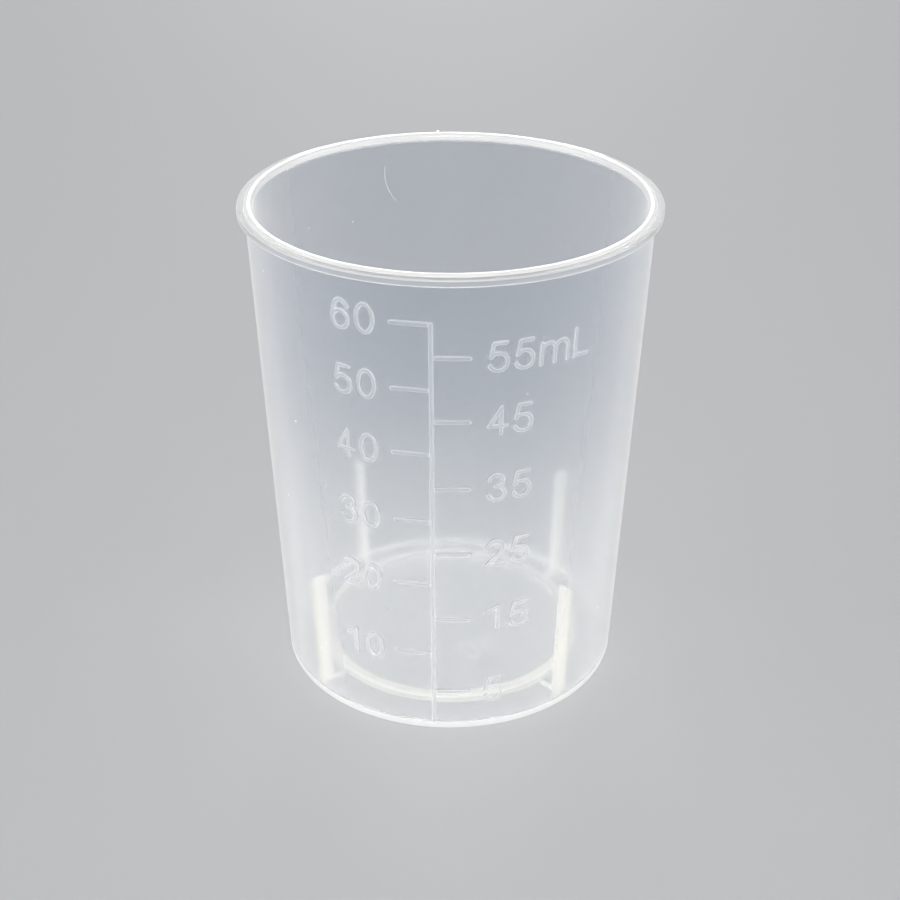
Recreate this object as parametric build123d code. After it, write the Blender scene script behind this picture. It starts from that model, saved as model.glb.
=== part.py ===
from build123d import *
import math
import os

# Resin mixing cup, moulded in one piece and modelled feature by feature.
# Millimetres, +Z up. The origin is on the table, on the cup's axis, and the
# measuring scale faces -Y. Angles are counted anticlockwise from +X, in degrees.

# Wall: a thin cone, its mouth wider than its base by the flare, counted on the radius
cup_height = 56.0
base_radius = 19.55
wall_flare = 2.3
wall_thickness = 0.86
lip_inner_rounding = 0.35
lip_outer_rounding = 0.12
foot_rounding = 0.15

# Rim: a flat flange round the outside of the mouth
flange_projection = 0.78
flange_thickness = 0.78
flange_drop = 0.22
flange_top_rounding = 0.3
flange_under_rounding = 0.12

# Floor: a flat outer ring that stands on the table, and a raised middle
floor_thickness = 0.75
foot_ring_width = 5.0
recess_depth = 1.0
step_web = 0.9
step_rounding = 0.35

# Ribs: four upright fins inside the wall, which a nested cup rests on
rib_top_height = 15.4
rib_depth = 1.45
rib_thickness = 0.5
rib_corner_rounding = 0.4
front_left_rib_angle = -140.8
front_right_rib_angle = -47.4
back_right_rib_angle = 40.3
back_left_rib_angle = 129.2

# Scale: one upright line with a mark for every five millilitres
mark_relief = 0.2
scale_angle = -95.0
spine_width = 0.5
spine_foot_height = 1.0
tick_thickness = 0.55
left_tick_reach = 4.2
right_tick_reach = 4.0
tick_height_shares = {
    5: 0.097, 10: 0.190, 15: 0.274, 20: 0.357, 25: 0.427, 30: 0.500,
    35: 0.573, 40: 0.646, 45: 0.714, 50: 0.778, 55: 0.842, 60: 0.907,
}

# Figures: plain rounded strokes, level with their marks
digit_height = 3.5
digit_width = 2.25
small_letter_height = 2.75
small_letter_width = 3.5
capital_letter_width = 2.1
glyph_stroke = 0.5
glyph_gap = 0.42
column_offset = 5.5
unit_text = "mL"
unit_follows = 55

# Underside: what the mould leaves in the recess
gate_radius = 1.0
gate_height = 0.35
gate_nib_radius = 0.45
gate_nib_height = 0.25
ring_mark_radius = 2.03
ring_mark_stroke = 0.4
ring_mark_place = (-2.8, 3.5)
underside_relief = 0.25
capacity_mark_place = (3.35, -5.5)
capacity_mark_angle = 216.9
capacity_mark_text = str(max(tick_height_shares))

# Strokes of each figure, as shares of its width and height between stroke middles.
# Two points are a straight stroke, three points an arc through them.
stroke_shares = {
    "0": [],
    "1": [[(0.0, 0.75), (0.68, 1.0)],
          [(0.68, 1.0), (0.68, 0.0)]],
    "2": [[(0.03, 0.76), (0.48, 1.0), (0.96, 0.72)],
          [(0.96, 0.72), (0.88, 0.53), (0.68, 0.38)],
          [(0.68, 0.38), (0.0, 0.0)],
          [(0.0, 0.0), (1.0, 0.0)]],
    "3": [[(0.05, 0.80), (0.45, 1.0), (0.88, 0.77)],
          [(0.88, 0.77), (0.75, 0.61), (0.40, 0.545)],
          [(0.40, 0.545), (0.82, 0.47), (1.0, 0.27)],
          [(1.0, 0.27), (0.48, 0.0), (0.0, 0.22)]],
    "4": [[(0.70, 1.0), (0.0, 0.29)],
          [(0.0, 0.29), (1.0, 0.29)],
          [(0.70, 1.0), (0.70, 0.0)]],
    "5": [[(0.92, 1.0), (0.20, 1.0)],
          [(0.20, 1.0), (0.06, 0.50)],
          [(0.06, 0.50), (0.55, 0.64), (1.0, 0.33)],
          [(1.0, 0.33), (0.50, 0.0), (0.0, 0.20)]],
    "6": [[(0.95, 0.78), (0.56, 1.0), (0.14, 0.78)],
          [(0.14, 0.78), (0.02, 0.52), (0.0, 0.31)]],
    "m": [[(0.0, 0.0), (0.0, 1.0)],
          [(0.0, 0.66), (0.25, 1.0), (0.5, 0.66)],
          [(0.5, 0.66), (0.5, 0.0)],
          [(0.5, 0.66), (0.75, 1.0), (1.0, 0.66)],
          [(1.0, 0.66), (1.0, 0.0)]],
    "L": [[(0.0, 1.0), (0.0, 0.0)],
          [(0.0, 0.0), (1.0, 0.0)]],
}

# Closed ovals of each figure: middle across, middle up, half width and half height
oval_shares = {
    "0": (0.5, 0.5, 0.5, 0.5),
    "6": (0.5, 0.31, 0.5, 0.31),
}

# Places that follow from the sizes above
mouth_radius = base_radius + wall_flare
recess_radius = base_radius - foot_ring_width
flange_top_height = cup_height - flange_drop
flange_under_height = flange_top_height - flange_thickness
recess_floor_height = recess_depth + floor_thickness
step_outer_radius = recess_radius + step_web
radius_gain_per_height = wall_flare / cup_height


def outer_radius(height):
    """Radius of the wall's outside at a height."""
    return base_radius + radius_gain_per_height * height


def inner_radius(height):
    """Radius of the wall's inside at a height."""
    return outer_radius(height) - wall_thickness


def section_face(points):
    """Closed half section from (radius, height) points, in the XZ plane."""
    outline = Polyline(*[(radius, 0, height) for radius, height in points], close=True)
    return make_face(outline, Plane.XZ)


def nearest_corner(face, radius, height):
    """Corner of a half section that lies nearest to a place."""
    return face.vertices().sort_by_distance((radius, 0, height))[0]


def rounded_corner(face, radius, height, rounding):
    """Half section with the corner at a place rounded."""
    return fillet(nearest_corner(face, radius, height), rounding)


def turned(face):
    """Solid that a half section makes, turned once round the cup's axis."""
    return revolve(face, Axis.Z)


def cup_wall():
    """Thin conical wall, from the table to the lip."""
    foot_outer = (outer_radius(0), 0)
    lip_outer = (outer_radius(cup_height), cup_height)
    lip_inner = (inner_radius(cup_height), cup_height)
    foot_inner = (inner_radius(0), 0)
    face = section_face([foot_outer, lip_outer, lip_inner, foot_inner])
    face = rounded_corner(face, *lip_inner, lip_inner_rounding)
    face = rounded_corner(face, *lip_outer, lip_outer_rounding)
    face = rounded_corner(face, *foot_outer, foot_rounding)
    return turned(face)


def rim_flange():
    """Flat flange round the mouth, its top a little below the lip."""
    edge_radius = mouth_radius + flange_projection
    top_outer = (edge_radius, flange_top_height)
    under_outer = (edge_radius, flange_under_height)
    face = section_face([
        (outer_radius(flange_under_height), flange_under_height),
        under_outer,
        top_outer,
        (outer_radius(flange_top_height), flange_top_height),
    ])
    face = rounded_corner(face, *top_outer, flange_top_rounding)
    face = rounded_corner(face, *under_outer, flange_under_rounding)
    return turned(face)


def floor_ring():
    """Flat outer part of the floor, which stands on the table."""
    return turned(section_face([
        (step_outer_radius, 0),
        (inner_radius(0), 0),
        (inner_radius(floor_thickness), floor_thickness),
        (step_outer_radius, floor_thickness),
    ]))


def floor_step():
    """Upright web that lifts the middle of the floor off the table."""
    top_outer = (step_outer_radius, recess_floor_height)
    face = section_face([
        (recess_radius, 0),
        (step_outer_radius, 0),
        top_outer,
        (recess_radius, recess_floor_height),
    ])
    return turned(rounded_corner(face, *top_outer, step_rounding))


def floor_disc():
    """Raised middle of the floor, over the recess."""
    return Pos(0, 0, recess_depth) * extrude(Circle(recess_radius), amount=floor_thickness)


def stacking_rib(angle):
    """Upright fin on the wall's inside, standing on the floor ring."""
    foot = floor_thickness
    top = rib_top_height
    top_inner = (inner_radius(top) - rib_depth, top)
    face = section_face([
        (inner_radius(foot) - rib_depth, foot),
        (outer_radius(foot), foot),
        (outer_radius(top), top),
        top_inner,
    ])
    face = rounded_corner(face, *top_inner, rib_corner_rounding)
    fin = extrude(face, amount=rib_thickness / 2, both=True)
    inside = turned(section_face([
        (0, foot),
        (inner_radius(foot), foot),
        (inner_radius(top), top),
        (0, top),
    ]))
    return Rot(0, 0, angle) * (fin & inside)


def facing_plane(arc, height):
    """Upright plane through the axis that faces the wall, at an arc from the scale's line."""
    angle = math.radians(scale_angle) + arc / outer_radius(height)
    outward = (math.cos(angle), math.sin(angle), 0)
    across = (-math.sin(angle), math.cos(angle), 0)
    return Plane((0, 0, height), x_dir=across, z_dir=outward)


def raised_on_wall(sketch, plane):
    """Relief that a flat sketch gives on the wall's outside."""
    return extrude(plane * sketch, amount=mouth_radius + mark_relief) & relief_ring


def tick_height(millilitres):
    """Height of the mark for a volume."""
    return cup_height * tick_height_shares[millilitres]


def is_left(millilitres):
    """Whole tens stand left of the scale's line, the fives between them right."""
    return millilitres % 10 == 0


def scale_spine():
    """Upright line of the scale, from the foot to the top mark."""
    end_radius = spine_width / 2
    top = tick_height(max(tick_height_shares)) + tick_thickness / 2 - end_radius
    length = top - spine_foot_height
    bar = Pos(0, spine_foot_height + length / 2) * Rectangle(spine_width, length)
    return raised_on_wall(bar + Pos(0, top) * Circle(end_radius), facing_plane(0, 0))


def tick(millilitres):
    """Level mark of the scale, from its upright line to a round end."""
    side = -1 if is_left(millilitres) else 1
    reach = left_tick_reach if is_left(millilitres) else right_tick_reach
    height = tick_height(millilitres)
    start = spine_width / 2
    length = reach - tick_thickness / 2 - start
    bar = Pos(side * (start + length / 2), height) * Rectangle(length, tick_thickness)
    end = Pos(side * (start + length), height) * Circle(tick_thickness / 2)
    return raised_on_wall(bar + end, facing_plane(0, 0))


def stroke_face(points):
    """One stroke with round ends, straight through two points or an arc through three."""
    middle_line = Line(*points) if len(points) == 2 else ThreePointArc(*points)
    return Face(Wire([middle_line.edge()]).offset_2d(glyph_stroke / 2))


def glyph_size(character):
    """Width and height of a figure or letter, over its strokes."""
    if character == "m":
        return small_letter_width, small_letter_height
    if character == "L":
        return capital_letter_width, digit_height
    return digit_width, digit_height


def glyph(character):
    """Flat sketch of one figure or letter, its lower left corner at the origin."""
    width, height = glyph_size(character)
    inset = glyph_stroke / 2
    across = width - glyph_stroke
    up = height - glyph_stroke
    sketch = Sketch()
    for shares in stroke_shares[character]:
        sketch += stroke_face([(inset + x * across, inset + y * up) for x, y in shares])
    if character in oval_shares:
        x, y, half_across, half_up = oval_shares[character]
        middle = Pos(inset + x * across, inset + y * up)
        outer = Ellipse(half_across * across + inset, half_up * up + inset)
        inner = Ellipse(half_across * across - inset, half_up * up - inset)
        sketch += middle * (outer - inner)
    return sketch


def text_width(text):
    """Width of a row of figures, with the gaps between them."""
    return sum(glyph_size(character)[0] for character in text) + glyph_gap * (len(text) - 1)


def row_on_wall(text, start, millilitres):
    """Figures level with a mark, each on the wall where it stands, from a starting arc."""
    foot = tick_height(millilitres) - digit_height / 2
    arc = start
    solids = []
    for character in text:
        width, height = glyph_size(character)
        plane = facing_plane(arc + width / 2, foot + height / 2)
        centred = Pos(-width / 2, -height / 2) * glyph(character)
        solids += raised_on_wall(centred, plane).solids()
        arc += width + glyph_gap
    return Compound(solids)


def numeral(millilitres):
    """Figures beside a mark of the scale, on the mark's own side."""
    text = str(millilitres)
    start = -column_offset - text_width(text) if is_left(millilitres) else column_offset
    return row_on_wall(text, start, millilitres)


def unit_mark():
    """Unit of the scale, after the figures that it follows."""
    start = column_offset + text_width(str(unit_follows)) + glyph_gap
    return row_on_wall(unit_text, start, unit_follows)


def gate_vestige():
    """Low boss at the middle of the recess, with the stub where the plastic ran in."""
    boss = extrude(Circle(gate_radius), amount=gate_height)
    stub = Pos(0, 0, gate_height) * extrude(Circle(gate_nib_radius), amount=gate_nib_height)
    return Pos(0, 0, recess_depth) * Rot(180, 0, 0) * (boss + stub)


def ring_mark():
    """Round witness line of a mould insert, beside the gate."""
    ring = Circle(ring_mark_radius) - Circle(ring_mark_radius - ring_mark_stroke)
    x, y = ring_mark_place
    return Pos(x, y, recess_depth) * extrude(ring, amount=-underside_relief)


def capacity_mark():
    """Plain figures of the cup's capacity, read from below."""
    x, y = capacity_mark_place
    angle = math.radians(capacity_mark_angle)
    reading = Vector(math.cos(angle), math.sin(angle), 0)
    plane = Plane((x, y, recess_depth), x_dir=reading, z_dir=(0, 0, -1))
    start = -text_width(capacity_mark_text) / 2
    solids = []
    for character in capacity_mark_text:
        centred = Pos(start, -digit_height / 2) * glyph(character)
        solids += extrude(plane * centred, amount=underside_relief).solids()
        start += glyph_size(character)[0] + glyph_gap
    return Compound(solids)


# The thin ring round the wall that every raised mark is a piece of
relief_ring = turned(section_face([
    (outer_radius(0), 0),
    (outer_radius(0) + mark_relief, 0),
    (outer_radius(flange_under_height) + mark_relief, flange_under_height),
    (outer_radius(flange_under_height), flange_under_height),
]))

nodes = {
    "cup_wall": cup_wall(),
    "rim_flange": rim_flange(),
    "floor_ring": floor_ring(),
    "floor_step": floor_step(),
    "floor_disc": floor_disc(),
    "stacking_rib_front_left": stacking_rib(front_left_rib_angle),
    "stacking_rib_front_right": stacking_rib(front_right_rib_angle),
    "stacking_rib_back_right": stacking_rib(back_right_rib_angle),
    "stacking_rib_back_left": stacking_rib(back_left_rib_angle),
    "scale_spine": scale_spine(),
    "gate_vestige": gate_vestige(),
    "ring_mark": ring_mark(),
    "capacity_mark": capacity_mark(),
    "unit_mark_ml": unit_mark(),
}
for millilitres in tick_height_shares:
    nodes["tick_" + str(millilitres)] = tick(millilitres)
    nodes["numeral_" + str(millilitres)] = numeral(millilitres)

for name, shape in nodes.items():
    export_step(shape, "parts/" + name + ".step")
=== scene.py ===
import logging
import math
from dataclasses import dataclass
from enum import Enum
from typing import Callable, Optional, Union

import bmesh
import bpy
from mathutils import Matrix, Vector


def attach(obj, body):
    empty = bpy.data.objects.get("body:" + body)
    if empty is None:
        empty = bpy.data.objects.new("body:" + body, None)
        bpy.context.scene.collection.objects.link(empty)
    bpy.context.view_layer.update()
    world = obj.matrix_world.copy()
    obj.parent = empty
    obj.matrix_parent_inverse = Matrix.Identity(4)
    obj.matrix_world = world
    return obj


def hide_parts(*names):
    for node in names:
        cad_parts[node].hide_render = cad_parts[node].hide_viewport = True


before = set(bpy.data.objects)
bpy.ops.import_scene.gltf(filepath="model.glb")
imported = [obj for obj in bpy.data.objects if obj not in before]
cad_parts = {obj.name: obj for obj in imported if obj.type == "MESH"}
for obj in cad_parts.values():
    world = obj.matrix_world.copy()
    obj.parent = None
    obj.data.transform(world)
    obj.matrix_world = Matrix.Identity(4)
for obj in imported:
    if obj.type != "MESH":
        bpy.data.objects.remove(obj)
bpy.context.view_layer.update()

# Looks of a resin mixing cup: one thin moulding in natural polypropylene, clear enough to
# see through, with a raised scale on the front. Metres, +Z up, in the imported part's frame.
# The sizes in the classes are millimetres, and angles are degrees, unless they say otherwise.

log = logging.getLogger("cup")
MM = 0.001
SAME_PLACE = 0.001 * MM
BODY = "root"
LIGHT_BOUNCES = 24
NOISE_MIDDLE = 0.5
FACE_WEIGHT = 100
Number = Union[int, float]
Colour = tuple[float, float, float]
Place = tuple[float, float, float]
Owner = Union[bpy.types.Material, bpy.types.World]


# Shader maths

# A Mix node has several sockets of one name, so those for colours go by their numbers.
MIX_SHARE, MIX_FIRST_COLOUR, MIX_SECOND_COLOUR = 0, 6, 7
MIX_COLOUR_OUT = 2


class Sock:
    """An output socket of a node, with Python's operators for maths on it."""

    def __init__(self, paint: "Paint", socket: Optional[bpy.types.NodeSocket]) -> None:
        """Keeps the socket and the paint that it belongs to."""
        self.paint = paint
        self.socket = socket

    def __add__(self, other: "Value") -> "Sock":
        """Sum of the two values."""
        return self.paint.maths("ADD", self, other)

    __radd__ = __add__

    def __sub__(self, other: "Value") -> "Sock":
        """This value less the other."""
        return self.paint.maths("SUBTRACT", self, other)

    def __rsub__(self, other: "Value") -> "Sock":
        """The other value less this one."""
        return self.paint.maths("SUBTRACT", other, self)

    def __mul__(self, other: "Value") -> "Sock":
        """Product of the two values."""
        return self.paint.maths("MULTIPLY", self, other)

    __rmul__ = __mul__

    def __gt__(self, other: "Value") -> "Sock":
        """1 where this value is the greater one, and 0 elsewhere."""
        return self.paint.maths("GREATER_THAN", self, other)

    def __lt__(self, other: "Value") -> "Sock":
        """1 where this value is the smaller one, and 0 elsewhere."""
        return self.paint.maths("LESS_THAN", self, other)

    def __abs__(self) -> "Sock":
        """This value without its sign."""
        return self.paint.maths("ABSOLUTE", self)

    def root(self) -> "Sock":
        """Square root of this value."""
        return self.paint.maths("SQRT", self)

    def greater_of(self, other: "Value") -> "Sock":
        """The greater one of the two values."""
        return self.paint.maths("MAXIMUM", self, other)

    def also(self, output: str) -> "Sock":
        """Another output of the same node."""
        return Sock(self.paint, self.socket.node.outputs[output])

    def smooth_rise(self, start: Number, end: Number) -> "Sock":
        """0 up to the start, 1 from the end on, and a smooth rise between them."""
        return self.paint.node("ShaderNodeMapRange", {"interpolation_type": "SMOOTHSTEP"}, {
            "Value": self, "From Min": start, "From Max": end})


Value = Union[Number, tuple, Sock]


class Paint:
    """Node tree of one material or sky, with the one method that adds a node to it."""

    def __init__(self, owner: Owner) -> None:
        """Empties the owner's node tree.

        Args:
            owner: The material or the world that the tree belongs to.
        """
        owner.use_nodes = True
        self.owner = owner
        self.tree = owner.node_tree
        self.tree.nodes.clear()

    def node(self, kind: str, settings: dict, inputs: dict, output: Union[int, str] = 0) -> Sock:
        """Adds a node, sets it up and feeds its sockets.

        Args:
            kind: The node's type.
            settings: Its own settings, which are set first.
            inputs: Values or links, by the socket's name or number.
            output: The output that is wanted.

        Returns:
            That output, or an empty socket where the node has none.
        """
        made = self.tree.nodes.new(kind)
        for name, value in settings.items():
            setattr(made, name, value)
        for name, value in inputs.items():
            if isinstance(value, Sock):
                self.tree.links.new(value.socket, made.inputs[name])
            else:
                made.inputs[name].default_value = value
        return Sock(self, made.outputs[output] if made.outputs else None)

    def maths(self, operation: str, first: Value, second: Value = 0.0) -> Sock:
        """Result of one Math node on one or two values."""
        return self.node("ShaderNodeMath", {"operation": operation}, {0: first, 1: second})

    def blend(self, share: Value, first: Value, second: Value) -> Sock:
        """Colour between two colours, the second one's share rising from 0 to 1."""
        return self.node("ShaderNodeMix", {"data_type": "RGBA"}, {
            MIX_SHARE: share, MIX_FIRST_COLOUR: first, MIX_SECOND_COLOUR: second}, MIX_COLOUR_OUT)

    def mixed(self, share: Value, first: Sock, second: Sock) -> Sock:
        """Mix of two surfaces, the second one's share rising from 0 to 1."""
        return self.node("ShaderNodeMixShader", {}, {0: share, 1: first, 2: second})

    def finish(self, surface: Sock) -> Owner:
        """Links the surface to the tree's output.

        Args:
            surface: The finished surface, or a sky's background.

        Returns:
            The material or the world.
        """
        sky = isinstance(self.owner, bpy.types.World)
        self.node("ShaderNodeOutputWorld" if sky else "ShaderNodeOutputMaterial", {}, {
            "Surface": surface})
        return self.owner


def rgba(colour: Colour) -> tuple[float, float, float, float]:
    """A colour with full alpha, as sockets take it."""
    return (*colour, 1.0)


@dataclass(frozen=True)
class Patches:
    """Soft noise: its patches' width, their height in widths, and how many octaves it has."""

    width: float
    stretch: float = 1.0
    detail: float = 2.0


class PlasticPaint(Paint):
    """Node tree of moulded plastic, its noise and masks in the object's millimetres."""

    def __init__(self, name: str) -> None:
        """Makes the empty material and takes up the object's coordinates.

        Args:
            name: The material's name.
        """
        super().__init__(bpy.data.materials.new(name))
        metres = self.node("ShaderNodeTexCoord", {}, {}, "Object")
        self.place = self.node("ShaderNodeVectorMath", {"operation": "SCALE"}, {
            "Vector": metres, "Scale": 1 / MM})
        self.x = self.node("ShaderNodeSeparateXYZ", {}, {0: self.place}, "X")
        self.y, self.height = self.x.also("Y"), self.x.also("Z")

    def cloud(self, patches: Patches) -> Sock:
        """Soft noise of 0 to 1.

        Args:
            patches: Its size and detail.

        Returns:
            The noise.
        """
        squeezed = self.node("ShaderNodeVectorMath", {"operation": "MULTIPLY"}, {
            0: self.place, 1: (1.0, 1.0, 1 / patches.stretch)})
        return self.node("ShaderNodeTexNoise", {}, {
            "Vector": squeezed, "Scale": 1 / patches.width, "Detail": patches.detail})


# Finishes

@dataclass(frozen=True)
class Dust:
    """Fine dust on the wall, one round speck in some of the cells that divide it."""

    cell: float = 2.6
    radius: float = 0.11
    rarity: float = 0.66

    def mask(self, paint: PlasticPaint) -> Sock:
        """1 on the specks and 0 elsewhere.

        Args:
            paint: The material that they lie on.

        Returns:
            The mask.
        """
        reach = paint.node("ShaderNodeTexVoronoi", {}, {
            "Vector": paint.place, "Scale": 1 / self.cell}, "Distance")
        chance = reach.also("Color")  # each cell's own random colour, here as a grey
        return (reach < self.radius / self.cell) * (chance > self.rarity)


@dataclass(frozen=True)
class Scratch:
    """Fine scratch inside the wall at the back, part of a circle as seen from the front."""

    middle_x: float = -2.2
    middle_height: float = 51.8
    radius: float = 5.6
    half_width: float = 0.035
    wall_middle: float = 19.12
    wall_slope: float = 0.041
    lowest: float = 48.1
    highest: float = 52.6

    def mask(self, paint: PlasticPaint) -> Sock:
        """1 on the scratch and 0 elsewhere.

        Args:
            paint: The material that is scratched.

        Returns:
            The mask.
        """
        across = paint.x - self.middle_x
        along = paint.height - self.middle_height
        circle = abs((across * across + along * along).root() - self.radius) < self.half_width
        from_axis = (paint.x * paint.x + paint.y * paint.y).root()
        inside = from_axis - paint.height * self.wall_slope < self.wall_middle
        between = (paint.height > self.lowest) * (paint.height < self.highest)
        return circle * inside * between * (paint.y > 0.0) * (across < 0.0)


@dataclass(frozen=True)
class MilkyPlastic:
    """Natural polypropylene, milkier where the moulding is thick.

    low_tint and high_tint are its colour near the foot and near the rim; where high_tint is the
    darker one, that darkening towards the rim is painted shade. passes is the share
    of light that goes through a surface instead of scattering in the plastic, wear is how
    strongly dust and scratches show, and lamp_share is how much of a lamp's light gets in.
    """

    name: str
    low_tint: Colour
    high_tint: Colour
    passes: float
    wear: float = 0.0
    lamp_share: float = 0.9
    roughness: float = 0.06
    roughness_spread: float = 0.07
    gloss: Patches = Patches(width=3.0, stretch=3.0, detail=4.0)
    sheen: float = 1.0
    sheen_roughness: float = 0.4
    gradient_start: float = 10.0
    gradient_end: float = 46.0
    gradient_drift: float = 14.0
    drift: Patches = Patches(width=22.0, stretch=2.5)
    bend: float = 1.49
    scatter: float = 1.0
    scatter_depth: float = 1.0
    scatter_reach: Colour = (1.0, 1.0, 1.0)
    grain: float = 0.002
    skin: Patches = Patches(width=2.4)
    streaks: Patches = Patches(width=0.8, stretch=40.0, detail=3.0)
    streak_share: float = 0.06

    def material(self) -> bpy.types.Material:
        """Builds the finish.

        Returns:
            Its material.
        """
        paint = PlasticPaint(self.name)
        look = {
            "Roughness": paint.cloud(self.gloss) * self.roughness_spread + self.roughness,
            "IOR": self.bend,
            "Normal": self._relief(paint),
            "Subsurface Weight": self.scatter,
            "Subsurface Radius": self.scatter_reach,
            "Subsurface Scale": self.scatter_depth * MM,
            "Sheen Weight": self.sheen,
            "Sheen Roughness": self.sheen_roughness,
        }
        clear = {"Base Color": self._tint(paint), "Transmission Weight": self.passes}
        surface = paint.node("ShaderNodeBsdfPrincipled", {}, {**clear, **look})
        if self.wear:
            worn = paint.node("ShaderNodeBsdfPrincipled", {}, {"Base Color": rgba(WHITE), **look})
            marks = Dust().mask(paint) + Scratch().mask(paint)
            surface = paint.mixed(marks * self.wear, surface, worn)
        return paint.finish(self._let_lamps_in(paint, surface))

    def _tint(self, paint: PlasticPaint) -> Sock:
        """Colour from the foot to the rim, its border drifting up and down; where the rim tint is darker,
        this is painted shade that darkens towards the rim.

        Args:
            paint: The material.

        Returns:
            The colour.
        """
        # Blends low_tint into high_tint up the cup: on the wall and the marks, painted shade darkening
        # towards the rim.
        drift = (paint.cloud(self.drift) - NOISE_MIDDLE) * self.gradient_drift
        rise = (paint.height + drift).smooth_rise(self.gradient_start, self.gradient_end)
        return paint.blend(rise, rgba(self.low_tint), rgba(self.high_tint))

    def _relief(self, paint: PlasticPaint) -> Sock:
        """Normal of the moulded skin, with its grain and the streaks of the draw."""
        skin = paint.cloud(self.skin) + paint.cloud(self.streaks) * self.streak_share
        return paint.node("ShaderNodeBump", {}, {"Height": skin, "Distance": self.grain * MM})

    def _let_lamps_in(self, paint: PlasticPaint, body: Sock) -> Sock:
        """Lets the lamps' light through the thin plastic, which scatters most of it forwards.

        Args:
            paint: The material.
            body: Its surface, as anything but a lamp sees it.

        Returns:
            The surface for lamps too.
        """
        to_lamp = paint.node("ShaderNodeLightPath", {}, {}, "Is Shadow Ray")
        clear = paint.node("ShaderNodeBsdfTransparent", {}, {"Color": rgba((self.lamp_share,) * 3)})
        return paint.mixed(to_lamp, body, clear)


@dataclass(frozen=True)
class MattTop:
    """Plain pale table top."""

    name: str = "pale_floor"
    colour: Colour = (0.60, 0.605, 0.61)
    roughness: float = 0.7

    def material(self) -> bpy.types.Material:
        """Builds the finish.

        Returns:
            Its material.
        """
        paint = Paint(bpy.data.materials.new(self.name))
        return paint.finish(paint.node("ShaderNodeBsdfPrincipled", {}, {
            "Base Color": rgba(self.colour), "Roughness": self.roughness}))


WHITE = (0.985, 0.98, 0.965)
SOFT_WHITE = (0.88, 0.875, 0.86)
# Cream-white of the fins and the step: partly milky thick plastic, partly painted glow of light from
# behind.
CREAM = (0.98, 0.92, 0.84)
FLANGE_GREY = (0.93, 0.925, 0.91)
# Grey of the flange's underside and outer face: painted shade under the flange.
SKIRT_PAINTED_SHADE = (0.80, 0.81, 0.825)
PALE = (0.93, 0.94, 0.95)
# Darker tint of the wall near the rim: painted shade.
WALL_RIM_PAINTED_SHADE = (0.70, 0.73, 0.775)
MARK_PALE = (0.94, 0.95, 0.96)
# Darker tint of the marks near the rim: painted shade.
MARK_RIM_PAINTED_SHADE = (0.88, 0.90, 0.92)


class Zone(Enum):
    """Zones of the moulding, each with the finish that its thickness gives. The lip, the flange's
    edge, the fins, the step and the marks' edges are also whiter as painted highlight and glow,
    the flange's underside is greyer as painted shade, and the wall and the marks darken towards
    the rim as painted shade.
    """

    # Wall: clear plastic that darkens towards the rim, painted shade.
    WALL = MilkyPlastic("wall_plastic", PALE, WALL_RIM_PAINTED_SHADE, passes=0.935, wear=0.5, sheen_roughness=0.5)
    # Lip: whiter, partly milky plastic and partly a painted highlight along the rim.
    LIP = MilkyPlastic("lip_plastic", SOFT_WHITE, SOFT_WHITE, passes=0.15)
    # Flange's edge: whiter, a painted highlight along the edge.
    EDGE = MilkyPlastic("edge_plastic", WHITE, WHITE, passes=0.5)
    FLANGE = MilkyPlastic("flange_plastic", WHITE, FLANGE_GREY, passes=0.7)
    # Flange's underside and outer face: greyer, painted shade under the flange.
    SKIRT = MilkyPlastic("skirt_plastic", PALE, SKIRT_PAINTED_SHADE, passes=0.75)
    # Fins: cream-white, partly milky thick plastic and partly painted glow of light from behind.
    RIB = MilkyPlastic("rib_plastic", CREAM, CREAM, passes=0.5)
    # Fins' edges: whiter than their flats, a painted highlight.
    RIB_EDGE = MilkyPlastic("rib_edge_plastic", WHITE, WHITE, passes=0.2)
    # Step: cream-white, partly milky thick plastic and partly painted glow of light from behind.
    STEP = MilkyPlastic("step_plastic", CREAM, CREAM, passes=0.5)
    FLOOR = MilkyPlastic("floor_plastic", PALE, PALE, passes=0.88, lamp_share=0.8)
    FOOT = MilkyPlastic("foot_plastic", WHITE, WHITE, passes=0.0)
    # Marks: darken towards the rim like the wall, painted shade.
    MARK = MilkyPlastic("mark_plastic", MARK_PALE, MARK_RIM_PAINTED_SHADE, passes=0.8)
    # Marks' eased edges: milkier than their flats, a painted highlight round each mark, and darker towards
    # the rim as painted shade.
    MARK_EDGE = MilkyPlastic("mark_edge_plastic", MARK_PALE, MARK_RIM_PAINTED_SHADE, passes=0.68)
    UNDERSIDE = MilkyPlastic("underside_plastic", WHITE, WHITE, passes=0.2)

    def material(self) -> bpy.types.Material:
        """The zone's material, made when it is first wanted."""
        return bpy.data.materials.get(self.value.name) or self.value.material()


SHELL_ZONES = (Zone.WALL, Zone.LIP, Zone.EDGE, Zone.FLANGE, Zone.SKIRT, Zone.RIB, Zone.RIB_EDGE,
               Zone.STEP, Zone.FLOOR, Zone.FOOT)


class Slot(Enum):
    """Names for the cup's material slots."""

    SHELL = "clear_polypropylene"
    MARKS = "clear_polypropylene_marks"


# Modelling by hand

def deselect_everything() -> None:
    """Leaves no object selected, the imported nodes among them."""
    bpy.ops.object.select_all(action="DESELECT")


def work_on(piece: bpy.types.Object) -> None:
    """Makes a piece the only selected object, and the active one.

    Args:
        piece: The piece.
    """
    deselect_everything()
    piece.select_set(True)
    bpy.context.view_layer.objects.active = piece


def select_vertices(chosen: Callable[[Vector], bool]) -> None:
    """Selects vertices of the mesh in edit mode.

    Args:
        chosen: Says of a place whether a vertex there is wanted.
    """
    bpy.ops.mesh.select_all(action="DESELECT")
    mesh = bmesh.from_edit_mesh(bpy.context.object.data)
    for vertex in mesh.verts:
        vertex.select_set(chosen(vertex.co))
    mesh.select_flush_mode()
    bmesh.update_edit_mesh(bpy.context.object.data)


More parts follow.
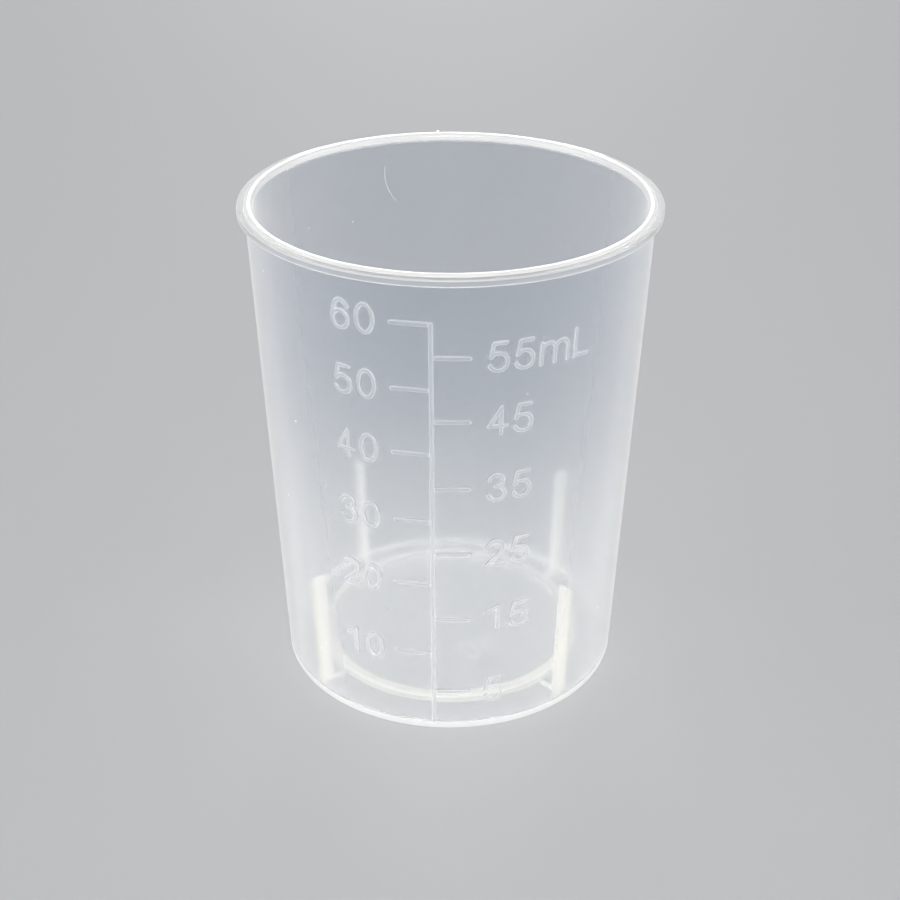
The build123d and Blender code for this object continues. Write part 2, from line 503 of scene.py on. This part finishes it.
def select_edges(chosen: Callable[[bmesh.types.BMEdge], bool]) -> None:
    """Selects edges of the mesh in edit mode.

    Args:
        chosen: Says of an edge whether it is wanted.
    """
    bpy.ops.mesh.select_mode(type="EDGE")
    bpy.ops.mesh.select_all(action="DESELECT")
    mesh = bmesh.from_edit_mesh(bpy.context.object.data)
    for edge in mesh.edges:
        edge.select_set(chosen(edge))
    bmesh.update_edit_mesh(bpy.context.object.data)


def tidy_mesh() -> None:
    """Merges the doubles of the mesh in edit mode and turns its faces outwards."""
    bpy.ops.mesh.select_all(action="SELECT")
    bpy.ops.mesh.remove_doubles(threshold=SAME_PLACE)
    bpy.ops.mesh.normals_make_consistent(inside=False)


def shade(piece: bpy.types.Object, sharp_angle: float) -> None:
    """Shades a piece smoothly: its large faces stay even and its roundings take up the turn.

    Args:
        piece: The piece.
        sharp_angle: Angle between faces from which their edge stays sharp.
    """
    work_on(piece)
    bpy.ops.object.shade_smooth_by_angle(angle=math.radians(sharp_angle))
    weighing = piece.modifiers.new("weighing", "WEIGHTED_NORMAL")
    weighing.weight = FACE_WEIGHT
    weighing.keep_sharp = True
    bpy.ops.object.modifier_apply(modifier=weighing.name)


def place_piece(piece: bpy.types.Object, nodes: list[str]) -> None:
    """Ties a finished piece to the frame.

    Args:
        piece: The piece, its place in its mesh.
        nodes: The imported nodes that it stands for.
    """
    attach(piece, BODY)
    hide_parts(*nodes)
    log.info("%s: %d faces, for %s", piece.name, len(piece.data.polygons), ", ".join(nodes))


@dataclass(frozen=True)
class Corner:
    """Corner of a half section: its radius, height and rounding."""

    radius: float
    height: float
    rounding: float = 0.0
    steps: int = 4

    def place(self) -> Vector:
        """Its place in the XZ plane, in metres."""
        return Vector((self.radius * MM, 0, self.height * MM))


@dataclass
class CupShell:
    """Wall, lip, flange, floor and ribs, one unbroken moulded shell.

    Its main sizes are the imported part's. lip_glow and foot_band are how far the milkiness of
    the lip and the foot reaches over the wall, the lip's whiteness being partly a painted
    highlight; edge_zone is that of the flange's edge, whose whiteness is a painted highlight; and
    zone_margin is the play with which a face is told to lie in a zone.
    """

    height: float = 56.0
    base_radius: float = 19.55
    wall_flare: float = 2.3
    wall: float = 0.86
    lip_inner_rounding: float = 0.35
    lip_outer_rounding: float = 0.12
    lip_glow: float = 0.65
    flange_projection: float = 0.78
    flange_drop: float = 0.22
    flange_thickness: float = 0.78
    flange_top_rounding: float = 0.14
    flange_under_rounding: float = 0.12
    flange_root: float = 0.05
    floor: float = 0.75
    foot_ring_width: float = 5.0
    foot_rounding: float = 0.15
    foot_band: float = 0.95
    recess: float = 1.0
    recess_easing: float = 0.08
    step_web: float = 0.9
    step_rounding: float = 0.35
    root_fillet: float = 0.15
    fine_steps: int = 6
    coarse_steps: int = 2
    rib_top: float = 15.4
    rib_depth: float = 1.45
    rib_thickness: float = 0.5
    rib_easing: float = 0.08
    rib_easing_steps: int = 2
    rib_bite: float = 0.3
    rib_angles: tuple[float, ...] = (-140.8, -47.4, 40.3, 129.2)
    nib_angle: float = 93.8
    nib_size: float = 0.36
    nib_easing: float = 0.09
    nib_easing_steps: int = 3
    turn_steps: int = 288
    sharp_angle: float = 35.0
    zone_margin: float = 0.05
    edge_zone: float = 0.15

    def outer(self, height: float) -> float:
        """Radius of the wall's outside at a height."""
        return self.base_radius + self.wall_flare * height / self.height

    def inner(self, height: float) -> float:
        """Radius of the wall's inside at a height."""
        return self.outer(height) - self.wall

    def flange_top(self) -> float:
        """Height of the flange's upper side."""
        return self.height - self.flange_drop

    def flange_under(self) -> float:
        """Height of the flange's underside."""
        return self.flange_top() - self.flange_thickness

    def flange_edge(self) -> float:
        """Radius of the flange's edge."""
        return self.outer(self.height) + self.flange_projection

    def recess_radius(self) -> float:
        """Radius of the recess under the floor."""
        return self.base_radius - self.foot_ring_width

    def step_radius(self) -> float:
        """Radius of the floor's step, on the inside of the cup."""
        return self.recess_radius() + self.step_web

    def raised_floor(self) -> float:
        """Height of the floor's raised middle, on the inside of the cup."""
        return self.recess + self.floor

    def corners(self) -> list[Corner]:
        """Half section of the shell.

        Returns:
            Its corners, from the middle of the floor round the lip to the recess.
        """
        top, glow = self.height, self.height - self.lip_glow
        over, under, edge = self.flange_top(), self.flange_under(), self.flange_edge()
        step, fillet = self.step_radius(), self.root_fillet
        return [
            Corner(0, self.raised_floor()),
            Corner(self.recess_radius(), self.raised_floor()),
            Corner(step, self.raised_floor(), self.step_rounding, self.fine_steps),
            Corner(step, self.floor, fillet),
            Corner(self.inner(self.floor), self.floor, fillet),
            Corner(self.inner(glow), glow),
            Corner(self.inner(top), top, self.lip_inner_rounding, self.fine_steps),
            Corner(self.outer(top), top, self.lip_outer_rounding),
            Corner(self.outer(over), over, self.flange_root, self.coarse_steps),
            Corner(edge, over, self.flange_top_rounding, self.fine_steps),
            Corner(edge, under, self.flange_under_rounding),
            Corner(self.outer(under), under, fillet),
            Corner(self.outer(self.foot_band), self.foot_band),
            Corner(self.outer(0), 0, self.foot_rounding),
            Corner(self.recess_radius(), 0, self.recess_easing, self.coarse_steps),
            Corner(self.recess_radius(), self.recess, fillet),
            Corner(0, self.recess),
        ]

    def build(self) -> bpy.types.Object:
        """Draws the half section, rounds it, spins it and joins the ribs and the nib to it.

        Returns:
            The finished shell.
        """
        shell = self._draw_section()
        self._open_axis()
        bpy.ops.mesh.select_all(action="SELECT")
        bpy.ops.mesh.spin(steps=self.turn_steps, angle=math.tau, center=(0, 0, 0), axis=(0, 0, 1))
        tidy_mesh()
        bpy.ops.object.mode_set(mode="OBJECT")
        for angle in self.rib_angles:
            self._join_turned(shell, self._rib(), angle)
        self._join_turned(shell, self._nib(), self.nib_angle)
        self._dress(shell)
        shade(shell, self.sharp_angle)
        return shell

    def _draw_section(self) -> bpy.types.Object:
        """Draws the closed half section from one vertex and rounds its corners.

        Returns:
            The section, left in edit mode.
        """
        corners = self.corners()
        deselect_everything()
        bpy.ops.mesh.primitive_plane_add(size=MM, location=(0, 0, 0))
        shell = bpy.context.object
        shell.name = "cup_shell"
        bpy.ops.object.mode_set(mode="EDIT")
        bpy.ops.mesh.select_all(action="SELECT")
        bpy.ops.mesh.merge(type="CENTER")
        bpy.ops.transform.translate(value=corners[0].place())
        for before, after in zip(corners, corners[1:]):
            bpy.ops.mesh.extrude_region_move(
                TRANSFORM_OT_translate={"value": after.place() - before.place()})
        bpy.ops.mesh.select_all(action="SELECT")
        bpy.ops.mesh.edge_face_add()
        for corner in corners:
            if corner.rounding:
                self._round(corner)
        bpy.ops.mesh.select_all(action="SELECT")
        bpy.ops.mesh.delete(type="ONLY_FACE")
        return shell

    @staticmethod
    def _round(corner: Corner) -> None:
        """Rounds one corner of the section, which is in edit mode.

        Args:
            corner: The corner.
        """
        here = corner.place()
        select_vertices(lambda place: (place - here).length < SAME_PLACE)
        mesh = bmesh.from_edit_mesh(bpy.context.object.data)
        vertex = next(v for v in mesh.verts if v.select)
        first, second = (edge.other_vert(vertex).co - vertex.co for edge in vertex.link_edges)
        reach = corner.rounding * MM / math.tan(first.angle(second) / 2)
        bpy.ops.mesh.bevel(offset=reach, segments=corner.steps, affect="VERTICES")

    @staticmethod
    def _open_axis() -> None:
        """Takes away the section's edge along the axis, which would end up inside."""
        select_edges(lambda edge: all(abs(v.co.x) < SAME_PLACE for v in edge.verts))
        bpy.ops.mesh.delete(type="EDGE")
        bpy.ops.mesh.select_mode(type="VERT")

    def _rib(self) -> bpy.types.Object:
        """Models one upright fin at +X, its back sunk into the wall.

        Returns:
            The fin.
        """
        foot, top, bite = self.floor, self.rib_top, self.rib_bite
        deselect_everything()
        bpy.ops.mesh.primitive_cube_add(
            size=MM,
            location=((self.inner(foot) + (bite - self.rib_depth) / 2) * MM, 0,
                      (foot - bite + top) / 2 * MM),
            scale=(self.rib_depth + bite, self.rib_thickness, top - foot + bite))
        rib = bpy.context.object
        bpy.ops.object.transform_apply(location=True, rotation=False, scale=True)
        bpy.ops.object.mode_set(mode="EDIT")
        select_vertices(lambda place: place.z > top / 2 * MM)
        lean = (self.inner(top) - self.inner(foot)) * MM
        bpy.ops.transform.translate(value=(lean, 0, 0))
        bpy.ops.mesh.select_all(action="SELECT")
        bpy.ops.mesh.bevel(offset=self.rib_easing * MM, segments=self.rib_easing_steps, affect="EDGES")
        bpy.ops.object.mode_set(mode="OBJECT")
        return rib

    def _nib(self) -> bpy.types.Object:
        """Models the crumb of flash that stands on the flange's edge at the back, at +X.

        Returns:
            The crumb.
        """
        side = self.nib_size * MM
        deselect_everything()
        bpy.ops.mesh.primitive_cube_add(size=side, location=(
            self.flange_edge() * MM - side / 2, 0, self.height * MM - side / 2))
        nib = bpy.context.object
        bpy.ops.object.transform_apply(location=True, rotation=False, scale=False)
        bpy.ops.object.mode_set(mode="EDIT")
        bpy.ops.mesh.bevel(offset=self.nib_easing * MM, segments=self.nib_easing_steps, affect="EDGES")
        bpy.ops.object.mode_set(mode="OBJECT")
        return nib

    @staticmethod
    def _join_turned(shell: bpy.types.Object, added: bpy.types.Object, angle: float) -> None:
        """Turns a solid about the axis and joins it to the shell.

        Args:
            shell: The turned shell.
            added: The solid, modelled at +X.
            angle: Where it belongs, from +X.
        """
        work_on(added)
        added.rotation_euler = (0, 0, math.radians(angle))
        bpy.ops.object.transform_apply(location=False, rotation=True, scale=False)
        work_on(shell)
        union = shell.modifiers.new("union", "BOOLEAN")
        union.operation = "UNION"
        union.object = added
        union.solver = "EXACT"
        bpy.ops.object.modifier_apply(modifier=union.name)
        bpy.data.objects.remove(added)

    def zone_at(self, place: Vector) -> Zone:
        """Zone of a face by the place of its middle.

        Args:
            place: The middle, in millimetres.

        Returns:
            The zone.
        """
        radius, height = math.hypot(place.x, place.y), place.z
        margin = self.zone_margin
        if height > self.flange_under() - margin:
            return self._rim_zone(radius, height)
        if height < self.foot_band and radius > self.inner(0) + margin:
            return Zone.FOOT
        if height < self.floor and radius > self.step_radius():
            return Zone.FLOOR
        if height < self.raised_floor() + margin and radius < self.step_radius() + self.root_fillet:
            upright = self.floor < height < self.raised_floor() - self.step_rounding
            return Zone.FLOOR if upright or radius < self.recess_radius() - margin else Zone.STEP
        if height < self.rib_top + margin and radius < self.inner(height) - margin:
            # The fins' edges get a whiter finish than their flats: painted highlight.
            front = self.inner(height) - self.rib_depth + self.rib_easing
            return Zone.RIB_EDGE if radius < front or height > self.rib_top - self.rib_easing else Zone.RIB
        return Zone.WALL

    def _rim_zone(self, radius: float, height: float) -> Zone:
        """Zone of a face of the lip or the flange.

        Args:
            radius: Distance of its middle from the axis.
            height: Height of its middle.

        Returns:
            The zone.
        """
        margin = self.zone_margin
        # LIP and EDGE take whiter finishes: on the lip partly milky plastic and partly painted highlight,
        # on the flange's edge a painted highlight.
        if radius < self.outer(height) + margin or height > self.flange_top() + margin:
            return Zone.LIP
        if radius > self.flange_edge() - self.edge_zone and height > self.flange_top() - self.edge_zone:
            return Zone.EDGE
        # SKIRT, the flange's underside and outer face, takes a greyer finish: painted shade.
        return Zone.FLANGE if height > self.flange_top() - margin else Zone.SKIRT

    def _dress(self, shell: bpy.types.Object) -> None:
        """Gives each zone of the shell its finish.

        Args:
            shell: The shell.
        """
        shell.data.materials.clear()
        for zone in SHELL_ZONES:
            shell.data.materials.append(zone.material())
        for face in shell.data.polygons:
            face.material_index = SHELL_ZONES.index(self.zone_at(face.center / MM))


@dataclass
class RaisedMarks:
    """A group of raised marks, their edges eased as a mould leaves them.

    starts are the starts of their nodes' names, body and edge are the zones of their flats
    and their eased edges, the edges' milkier finish being a painted highlight round each mark,
    and outward gives the direction in which they stand out at a place.
    clearance lifts them clear of the shell, so that no face of theirs lies in its surface.
    """

    starts: tuple[str, ...]
    body: Zone
    edge: Zone
    outward: Callable[[Vector], Vector]
    easing: float = 0.12
    easing_steps: int = 2
    clearance: float = 0.012
    flat_angle: float = 6.0
    sharp_angle: float = 50.0
    smooth_angle: float = 30.0
    least_facing: float = 0.9

    def nodes(self) -> list[str]:
        """The group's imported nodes, in order of their names."""
        return [name for name in sorted(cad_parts) if name.startswith(self.starts)]

    def build(self, node: str) -> bpy.types.Object:
        """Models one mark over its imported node.

        Args:
            node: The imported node's name.

        Returns:
            The mark.
        """
        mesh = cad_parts[node].data.copy()
        mark = bpy.data.objects.new(node + "_relief", mesh)
        bpy.context.scene.collection.objects.link(mark)
        mesh.materials.clear()
        zones = (self.body, self.edge)
        for zone in zones:
            mesh.materials.append(zone.material())
        work_on(mark)
        bpy.ops.object.mode_set(mode="EDIT")
        tidy_mesh()
        bpy.ops.mesh.dissolve_limited(angle_limit=math.radians(self.flat_angle))
        select_edges(self._stands_out)
        # The eased edges take the edge zone's milkier finish: a painted highlight along each mark's
        # outline.
        bpy.ops.mesh.bevel(offset=self.easing * MM, segments=self.easing_steps, affect="EDGES",
                           clamp_overlap=False, material=zones.index(self.edge))
        bpy.ops.mesh.select_mode(type="VERT")
        bpy.ops.mesh.select_all(action="SELECT")
        middle = sum((Vector(corner) for corner in mark.bound_box), Vector()) / len(mark.bound_box)
        bpy.ops.transform.translate(value=self.outward(middle) * self.clearance * MM)
        bpy.ops.object.mode_set(mode="OBJECT")
        shade(mark, self.smooth_angle)
        return mark

    def _stands_out(self, edge: bmesh.types.BMEdge) -> bool:
        """Tells a sharp edge of the face that stands out from any other edge.

        Args:
            edge: The edge.

        Returns:
            True for such an edge.
        """
        if not edge.is_manifold or edge.calc_face_angle() < math.radians(self.sharp_angle):
            return False
        way = self.outward(edge.verts[0].co)
        return any(face.normal.dot(way) > self.least_facing for face in edge.link_faces)


def from_axis(place: Vector) -> Vector:
    """Direction away from the cup's axis at a place."""
    return Vector((place.x, place.y, 0)).normalized()


def downwards(place: Vector) -> Vector:
    """Straight down, wherever the place is."""
    return Vector((0, 0, -1))


# Studio

@dataclass(frozen=True)
class Lamp:
    """Soft square lamp: its place and its side in metres, and its power in watts."""

    name: str
    place: Place
    side: float
    power: float

    def build(self, target: Vector) -> None:
        """Hangs the lamp so that it faces the target.

        Args:
            target: The place that it faces, in metres.
        """
        data = bpy.data.lights.new(self.name, "AREA")
        data.size = self.side
        data.energy = self.power
        lamp = bpy.data.objects.new(self.name, data)
        lamp.location = self.place
        lamp.rotation_euler = (target - lamp.location).to_track_quat("-Z", "Y").to_euler()
        lamp.visible_camera = False
        bpy.context.scene.collection.objects.link(lamp)


@dataclass(frozen=True)
class Sky:
    """Even pale light from all round: its strength as light and as the backdrop that shows."""

    colour: Colour = (0.97, 0.98, 1.0)
    light: float = 0.36
    backdrop: float = 0.6
    seeing_rays: tuple[str, ...] = ("Is Camera Ray", "Is Glossy Ray", "Is Transmission Ray")

    def build(self) -> None:
        """Makes the sky the scene's own."""
        paint = Paint(bpy.data.worlds.new("sky"))
        first, *others = self.seeing_rays
        seen = path = paint.node("ShaderNodeLightPath", {}, {}, first)
        for ray in others:
            seen = seen.greater_of(path.also(ray))
        strength = seen * (self.backdrop - self.light) + self.light
        even = paint.node("ShaderNodeBackground", {}, {"Color": rgba(self.colour), "Strength": strength})
        bpy.context.scene.world = paint.finish(even)


@dataclass
class Studio:
    """Pale floor, soft lamps, even sky and the camera, its sizes in metres but for the eye."""

    eye: Place = (0.0, -156.399, 112.493)
    pitch: float = 0.50999
    roll: float = 0.00222
    focal_pixels: float = 1546.0
    image_pixels: int = 900
    sensor_width: float = 36.0
    nearest_seen: float = 0.01
    floor_gap: float = 0.00002
    floor_side: float = 1.5
    lit_place: Place = (0.0, 0.0, 0.03)
    lamps: tuple[Lamp, ...] = (
        Lamp("overhead", place=(0.0, 0.10, 0.90), side=0.6, power=0.4),
        Lamp("window", place=(0.0, 0.85, 0.32), side=0.27, power=1.2),
        Lamp("left", place=(-0.80, -0.05, 0.30), side=0.6, power=2.2),
        Lamp("right", place=(0.80, -0.05, 0.30), side=0.6, power=2.2),
        Lamp("front", place=(0.0, -0.85, 0.35), side=0.6, power=4.5),
    )

    def build(self) -> None:
        """Makes the floor, the lamps, the sky and the camera."""
        deselect_everything()
        bpy.ops.mesh.primitive_plane_add(size=self.floor_side, location=(0, 0, -self.floor_gap))
        floor = bpy.context.object
        floor.name = "floor"
        bpy.ops.object.transform_apply(location=True)
        floor.data.materials.append(MattTop().material())
        for lamp in self.lamps:
            lamp.build(Vector(self.lit_place))
        Sky().build()
        self._camera()

    def _camera(self) -> None:
        """Puts the camera where the cup is seen from."""
        data = bpy.data.cameras.new("camera")
        data.sensor_width = self.sensor_width
        data.lens = self.focal_pixels * self.sensor_width / self.image_pixels
        data.clip_start = self.nearest_seen
        camera = bpy.data.objects.new("camera", data)
        look = Matrix.Rotation(math.pi / 2 - self.pitch, 4, "X") @ Matrix.Rotation(self.roll, 4, "Z")
        camera.matrix_world = Matrix.Translation(Vector(self.eye) * MM) @ look
        bpy.context.scene.collection.objects.link(camera)
        bpy.context.scene.camera = camera


def main() -> None:
    """Builds the shell, its marks and the studio."""
    logging.basicConfig(level=logging.INFO, format="%(message)s")
    scene = bpy.context.scene
    scene.view_settings.view_transform = "Standard"
    for limit in ("max_bounces", "transmission_bounces", "transparent_max_bounces"):
        setattr(scene.cycles, limit, LIGHT_BOUNCES)
    groups = (
        RaisedMarks(("scale_spine", "tick_", "numeral_", "unit_mark"),
                    Zone.MARK, Zone.MARK_EDGE, from_axis),
        RaisedMarks(("gate_vestige", "ring_mark", "capacity_mark"),
                    Zone.UNDERSIDE, Zone.MARK_EDGE, downwards),
    )
    marks = [name for group in groups for name in group.nodes()]
    place_piece(CupShell().build(), sorted(set(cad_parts) - set(marks)))
    for group in groups:
        for name in group.nodes():
            place_piece(group.build(name), [name])
    Studio().build()


if __name__ == "__main__":
    main()
